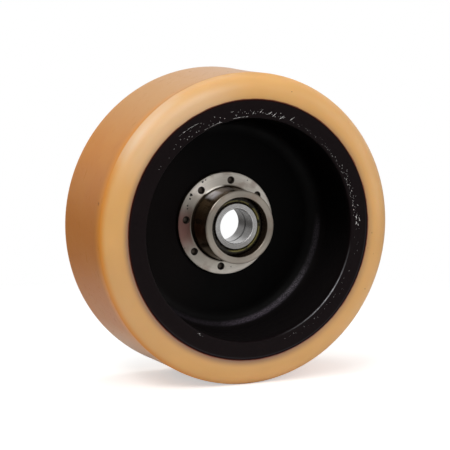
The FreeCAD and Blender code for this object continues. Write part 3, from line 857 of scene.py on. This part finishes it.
speck = Finish("dark_speck", IOR=1.5, Specular_IOR_Level=0.2)
speck_tone = speck.mix(speck.noise(0.7, 2), (0.16, 0.065, 0.028), (0.30, 0.130, 0.055))
on_tread_face = speck.fade(speck.radius, 176.8, 177.0)
speck.done(
    Base_Color=speck.mix(on_tread_face, speck_tone, (0.36, 0.115, 0.010)),
    Roughness=speck.patchy(1.5, 1, 0.4, 0.6),
)
tyre_specks = lay_spots("tyre_specks", [
    on_side(94.2, 153.7, 1.1),
    on_side(100.9, 151.0, 0.8),
    on_side(117.7, 164.4, 1.3),
    on_side(18.2, 162.8, 1.2),
    on_side(103.0, 159.8, 0.7),
    on_side(179.2, 176.3, 1.2),
    (282.0, 177.22, 24.5, 90, 4.4),
    (226.9, 177.15, 98.0, 90, 1.6),
], speck)
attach(tyre_specks, "wheel")

# %% Pits in the flange
FLANGE_DEPTH = 69.9
pit = Finish("dark_pit", Metallic=0.4)
pit.done(
    Base_Color=pit.mix(pit.noise(0.9, 2), (0.010, 0.008, 0.007), (0.030, 0.024, 0.020)),
    Roughness=pit.patchy(2.0, 1, 0.5, 0.7),
)
flange_pits = lay_spots("flange_pits", [
    (clock, radius, FLANGE_DEPTH, 0, size) for clock, radius, size in (
        (329.4, 57.2, 2.5), (333.7, 57.3, 1.6), (309.0, 55.8, 3.6), (304.4, 54.3, 2.5),
        (295.5, 53.0, 2.0), (291.9, 51.8, 1.8), (29.5, 55.7, 1.3), (243.4, 57.6, 1.3), (172.9, 51.6, 1.1),
    )
], pit)
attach(flange_pits, "wheel")

# %% [markdown]
# ## The hub
# The hub is turned from steel bar. Its flange and end are bare, with a rusty tint in places, painted shade on the
# flange at the lower left, and a reddish stain with painted shade at nine o'clock. The neck, the recess and the
# holes are dark with oil, darker at the lower left by painted shade, and the flange's outer side wall is painted
# dark as shade. A painted highlight lights a patch at the upper left of the neck and the fillet above it. The tool
# leaves fine rings, which catch the light in streaks. They could be cut as grooves, but they are too fine for that,
# so noise that is stretched round the axle makes them, and the shader's highlights are drawn out the same way.

# %% Turned steel: bare parts
steel = Finish(
    "turned_steel",
    Specular_IOR_Level=0.06,
    Specular_Tint=(0.58, 0.50, 0.42, 1.0),
    Anisotropic=0.8,
    Anisotropic_Rotation=0.25,
)
wide_rings = steel.fade(steel.tool_rings(0.35, 2, 0.5), *NOISE_REACH)
steel_tone = steel.mix(wide_rings, (0.345, 0.304, 0.258), (0.425, 0.382, 0.330))
flange_tone = steel.mix(wide_rings, (0.78, 0.730, 0.655), (0.91, 0.860, 0.785))
# painted shade: the flange is darker at the lower left
flange_tone = steel.mix(steel.facing(248, 0.45, 1.0, 0.70), flange_tone, (0.50, 0.455, 0.395))
# painted highlight: a pale bluish patch at the upper left of the neck
neck_painted_highlight = steel.both(
    steel.either(steel.facing(329, 0.968, 0.996), steel.facing(347, 0.94, 0.985, 0.5)),
    steel.band(steel.depth, 32, 50, 62, 69),
)
steel_tone = steel.mix(neck_painted_highlight, steel_tone, (0.80, 0.80, 0.87))
on_flange = steel.fade(steel.radius, 44.9, 45.4)
# painted highlight: the fillet is bright at the upper left
neck_fillet_painted_highlight = steel.both(steel.fade(steel.radius, 42.5, 43.3), steel.facing(340, 0.94, 0.985))
steel_tone = steel.mix(steel.either(on_flange, neck_fillet_painted_highlight), steel_tone, flange_tone)
# a reddish stain with painted shade at nine o'clock
nine_oclock_stain_and_shade = steel.both(on_flange, steel.band(steel.turn, -0.36, -0.28, -0.24, -0.165), 0.85)
steel_tone = steel.mix(nine_oclock_stain_and_shade, steel_tone, (0.44, 0.195, 0.170))
rust = steel.fade(steel.noise(0.06, 3), 0.50, 0.70, 0.0, 0.45)
steel_tone = steel.mix(rust, steel_tone, (0.33, 0.225, 0.170))
print("mask nodes", len(steel.tree.nodes))

# %% Turned steel: oiled parts, with painted shade
HOLES = 8
HOLE_CIRCLE = 50.0
FIRST_HOLE = 7.3  # degrees past the top

on_neck = steel.both(
    steel.band(steel.depth, 30.9, 31.3, 69.5, 69.85),
    steel.fade(steel.radius, 45.2, 44.8),
    steel.math("SUBTRACT", 1.0, steel.either(neck_fillet_painted_highlight, neck_painted_highlight)),
)
in_recess = steel.fade(steel.radius, 34.7, 34.3)
hole_number = steel.math("SUBTRACT", steel.math("MULTIPLY", steel.turn, HOLES), FIRST_HOLE * HOLES / 360)
off_hole = steel.math("SUBTRACT", hole_number, steel.math("ROUND", hole_number))
from_hole = steel.vectors("LENGTH", steel.vector(
    steel.math("MULTIPLY", off_hole, math.tau / HOLES * HOLE_CIRCLE),
    steel.math("SUBTRACT", steel.radius, HOLE_CIRCLE),
))
in_hole = steel.both(steel.fade(from_hole, 4.55, 4.25), steel.fade(steel.depth, 69.0, 69.5))
# painted shade: the flange's outer side wall is dark
flange_wall_painted_shade = steel.both(steel.fade(steel.radius, 59.2, 59.4), steel.fade(steel.depth, 69.95, 70.3))
oil_and_shade = steel.either(on_neck, in_recess, in_hole, flange_wall_painted_shade)
# painted shade: the oiled parts are darker at the lower left
oil_and_shade_tone = steel.mix(steel.facing(220, 0.5, 0.95), (0.043, 0.0300, 0.0200), (0.006, 0.0042, 0.0032))
steel_gloss = steel.patchy(0.15, 3, 0.37, 0.44)
round_axle = steel.node("ShaderNodeTangent")
round_axle.direction_type = "RADIAL"
round_axle.axis = "Y"
steel.done(
    Base_Color=steel.mix(oil_and_shade, steel_tone, oil_and_shade_tone),
    Metallic=steel.math("MULTIPLY_ADD", oil_and_shade, -0.3, 1.0),
    Roughness=steel.math("MULTIPLY_ADD", on_neck, -0.20, steel_gloss),
    Normal=steel.bump(steel.tool_rings(1.6, 2, 0.6), 0.006),
    Tangent=round_axle.outputs[0],
)
dress(steel, "hub")

# %% [markdown]
# ## The bearings
# Two taper roller bearings sit in the hub. Their solids are exact, so only finishes are needed. The inner rings and
# the spacer between them are ground, so they are brighter and cooler than the hub. Painted shade darkens their faces
# low down, and the bore is darker, with painted shade at the right and painted light at the bottom. The grinding
# stone leaves lines too fine to cut in a mesh, so stretched noise makes them here as well.

# %% Ground bearing steel
ground = Finish("ground_steel", Metallic=1.0)
ground_lines = ground.tool_rings(2.4, 3, 0.7)
ground_tone = ground.mix(ground_lines, (0.63, 0.625, 0.623), (0.80, 0.792, 0.788))
# painted shade: the faces are darker low down
ground_tone = ground.mix(ground.facing(185, 0.2, 0.9, 0.7), ground_tone, (0.44, 0.425, 0.415))
bore_tone = ground.mix(ground_lines, (0.118, 0.113, 0.110), (0.228, 0.222, 0.218))
# painted shade: the bore is darker at the right
bore_tone = ground.mix(ground.facing(75, 0.0, 0.9, 0.6), bore_tone, (0.080, 0.075, 0.072))
# painted light: the bore is lighter at the bottom
bore_tone = ground.mix(ground.facing(190, 0.5, 0.95), bore_tone, (0.40, 0.393, 0.390))
spacer_joint = ground.band(ground.depth, 58.6, 59.0, 61.4, 61.8)
bore_tone = ground.mix(spacer_joint, bore_tone, (0.020, 0.018, 0.017))
in_bore = ground.fade(ground.radius, 20.6, 20.2)
on_corner = ground.band(ground.radius, 20.02, 20.12, 21.2, 21.5)
ground_gloss = ground.patchy(0.3, 2, 0.17, 0.27)
ground_gloss = ground.math("MULTIPLY_ADD", in_bore, 0.06, ground_gloss)
ground.done(
    Base_Color=ground.mix(in_bore, ground_tone, bore_tone),
    Roughness=ground.math("MULTIPLY_ADD", on_corner, 0.2, ground_gloss),
    Normal=ground.bump(ground_lines, 0.004),
)
dress(ground, "front_cone", "rear_cone", "cone_spacer")

# %% [markdown]
# ### Oiled steel
# The outer rings and the rollers are brown with oil. A clear coat over bright steel could show the oil, but so little
# of them is seen, deep in the hub, that one dark and glossy metal does as well.

# %% Oiled cups and rollers
ROLLERS = 18
oiled = Finish("oiled_steel", Metallic=1.0)
oiled.done(
    Base_Color=oiled.mix(oiled.noise(0.25, 3), (0.030, 0.024, 0.018), (0.062, 0.052, 0.042)),
    Roughness=oiled.patchy(0.4, 2, 0.22, 0.34),
    Normal=oiled.bump(oiled.noise(1.2, 2), 0.004),
)
for row in ("front", "rear"):
    dress(oiled, f"{row}_cup")
    dress(oiled, *[f"{row}_roller_{number:02d}" for number in range(1, ROLLERS + 1)])

# %% [markdown]
# ### Cage nylon
# The cages are moulded in an olive-yellow nylon, which shows as arcs between the rings where no grease or shade
# hides it. The grease could be a mesh of its own, but it is a thin film, so a mask lays it over some patches, and
# the same dark is painted as shade over the outer edge and the left side.

# %% Olive cage nylon
nylon = Finish("olive_nylon", IOR=1.5, Specular_IOR_Level=0.4, Subsurface_Weight=0.05)
nylon_tone = nylon.mix(nylon.noise(0.2, 3), (0.150, 0.128, 0.036), (0.215, 0.182, 0.056))
# grease in patches; the dark over the outer edge and the left side is painted shade
grease_and_shade = nylon.either(
    nylon.fade(nylon.radius, 29.3, 30.1),
    nylon.fade(nylon.noise(0.11, 2), 0.53, 0.61),
    nylon.facing(262, 0.25, 0.55),
)
nylon.done(
    Base_Color=nylon.mix(grease_and_shade, nylon_tone, (0.014, 0.011, 0.006)),
    Roughness=nylon.patchy(0.5, 2, 0.32, 0.46),
    Normal=nylon.bump(nylon.noise(1.5, 2), 0.01),
)
dress(nylon, "front_cage", "rear_cage")

# %% [markdown]
# ## Blackened steel
# The hub's screws and spring washers are blackened in a hot bath, which leaves a dark brown skin. One colour could
# stand for it, but the skin is uneven and a little worn, so noise varies its tone, its gloss and its relief.

# %% Blackened screw steel
screw_steel = Finish("blackened_steel", Metallic=0.85)
screw_steel.done(
    Base_Color=screw_steel.mix(screw_steel.noise(0.4, 3), (0.070, 0.055, 0.044), (0.125, 0.102, 0.084)),
    Roughness=screw_steel.patchy(0.8, 2, 0.34, 0.50),
    Normal=screw_steel.bump(screw_steel.noise(2.0, 2), 0.01),
)
dress(screw_steel, "lock_washers")

# %% [markdown]
# ## The hub screws
# Eight blackened cap screws pass through the web from behind and end in the flange's tapped holes, where their
# points show from the front. Seen from behind, each head has a knurled side and a hexagon socket. One screw is
# made ring by ring as a mesh, and a tree sets it round the bolt circle, each turned by its own angle, with a
# helical thread wound on its shank. The same tree, with no screw, winds the threads of the tapped holes.

# %% One screw, ring by ring
SCREW_SIDES = 72
KNURL_DEPTH = 0.22
SCREW_RINGS = [
    # y and radius in mm, and how each ring is shaped
    (5.3, 2.2, "round"), (5.42, 2.5, "round"), (6.2, 3.35, "round"), (29.5, 3.35, "round"),
    (29.5, 6.3, "round"), (29.75, 6.42, "round"), (30.1, 6.5, "knurl"), (36.4, 6.5, "knurl"),
    (36.7, 6.35, "round"), (37.3, 5.85, "round"), (37.5, 5.6, "round"), (37.5, 3.35, "hexagon"),
    (37.2, 3.0, "hexagon"), (33.6, 3.0, "hexagon"), (32.4, 0.6, "round"),
]


def screw_ring(y, radius, form):
    ring = []
    for side in range(SCREW_SIDES):
        angle = math.tau * side / SCREW_SIDES
        reach = radius
        if form == "hexagon":
            reach = radius / math.cos((angle + math.radians(30)) % math.radians(60) - math.radians(30))
        if form == "knurl" and side % 2:
            reach = radius - KNURL_DEPTH
        ring.append((reach * math.sin(angle) / 1000, y / 1000, reach * math.cos(angle) / 1000))
    return ring


screw_bm = bmesh.new()
rows = [[screw_bm.verts.new(place) for place in screw_ring(*ring)] for ring in SCREW_RINGS]
for lower, upper in zip(rows, rows[1:]):
    for side in range(SCREW_SIDES):
        after = (side + 1) % SCREW_SIDES
        screw_bm.faces.new((lower[side], lower[after], upper[after], upper[side]))
screw_bm.faces.new(reversed(rows[0]))
screw_bm.faces.new(rows[-1])
bmesh.ops.recalc_face_normals(screw_bm, faces=screw_bm.faces)
screw_mesh = bpy.data.meshes.new("one_screw")
screw_bm.to_mesh(screw_mesh)
screw_bm.free()
one_screw = bpy.data.objects.new("one_screw", screw_mesh)
scene.collection.objects.link(one_screw)
print("one screw faces", len(screw_mesh.polygons))

# %% Tree for a bolt circle: places and thread
THREAD_STEPS = 24  # to a turn
THREAD_SIDES = 4

bolts = Shape(
    "bolt_circle", Screw="Object", Count="Int", Circle_radius="Float", Phase="Float", Seed="Int", Thread_radius="Float",
    Thread_size="Float", Thread_start="Float", Thread_length="Float", Pitch="Float",
)
given = bolts.inputs
bolt_spots = bolts.step("MeshLine", Count=given["Count"])
bolt_number = bolts.step("InputIndex")
bolt_step = bolts.math("DIVIDE", math.tau, given["Count"])
bolt_angle = bolts.math("ADD", bolts.math("MULTIPLY", bolt_number, bolt_step), given["Phase"])
bolt_places = bolts.step(
    "SetPosition",
    Geometry=bolt_spots,
    Position=bolts.clock_place(bolt_angle, given["Circle radius"], 0.0),
)
thread_line = bolts.step(
    "CurveSpiral",
    Resolution=THREAD_STEPS,
    Rotations=bolts.math("DIVIDE", given["Thread length"], given["Pitch"]),
    Start_Radius=given["Thread radius"],
    End_Radius=given["Thread radius"],
    Height=given["Thread length"],
)
thread_upright = bolts.node("GeometryNodeSetCurveNormal", Curve=thread_line)
thread_upright.mode = "Z_UP"
thread_form = bolts.step("CurvePrimitiveCircle", Resolution=THREAD_SIDES, Radius=given["Thread size"])
thread = bolts.step("CurveToMesh", Curve=thread_upright.outputs[0], Profile_Curve=thread_form, Fill_Caps=True)
thread_along = bolts.step(
    "Transform",
    Geometry=thread,
    Translation=bolts.vector(y=given["Thread start"]),
    Rotation=(math.radians(-90), 0, 0),
)
print("bolt inputs", len(bolts.keys))

# %% Tree for a bolt circle: copies
screw_form = bolts.node("GeometryNodeObjectInfo", Object=given["Screw"]).outputs["Geometry"]
screw_and_thread = bolts.node("GeometryNodeJoinGeometry")
bolts.feed(screw_and_thread.inputs[0], screw_form)
bolts.feed(screw_and_thread.inputs[0], thread_along)
own_turn = bolts.node("FunctionNodeEulerToRotation", bolts.vector(y=bolts.random(0.0, math.tau)))
bolt_copies = bolts.step(
    "InstanceOnPoints",
    Points=bolt_places,
    Instance=screw_and_thread.outputs[0],
    Rotation=own_turn.outputs[0],
)
bolts.close(bolt_copies)

# %% Eight screws and eight tapped holes
BOLT_CIRCLE = {
    "Count": HOLES,
    "Circle_radius": HOLE_CIRCLE / 1000,
    "Phase": math.radians(FIRST_HOLE),
    "Pitch": 0.00125,
    "Finish": screw_steel.material,
    "sharp": 32,
}
cap_screws = bolts.make(
    "cap_screws",
    Screw=one_screw,
    Seed=5,
    Thread_radius=0.0033,
    Thread_size=0.00062,
    Thread_start=0.0070,
    Thread_length=0.0210,
    **BOLT_CIRCLE,
)
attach(cap_screws, "wheel")
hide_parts("hub_screws")
tapped_threads = bolts.make(
    "tapped_threads",
    Seed=9,
    Thread_radius=0.0041,
    Thread_size=0.00042,
    Thread_start=0.0034,
    Thread_length=0.0018,
    **BOLT_CIRCLE,
)
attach(tapped_threads, "wheel")
bpy.data.objects.remove(one_screw)

# %% [markdown] ## Finish
# Only the paint chips stand proud, by a hair.

# %% Finish
scene.view_settings.view_transform = "Standard"
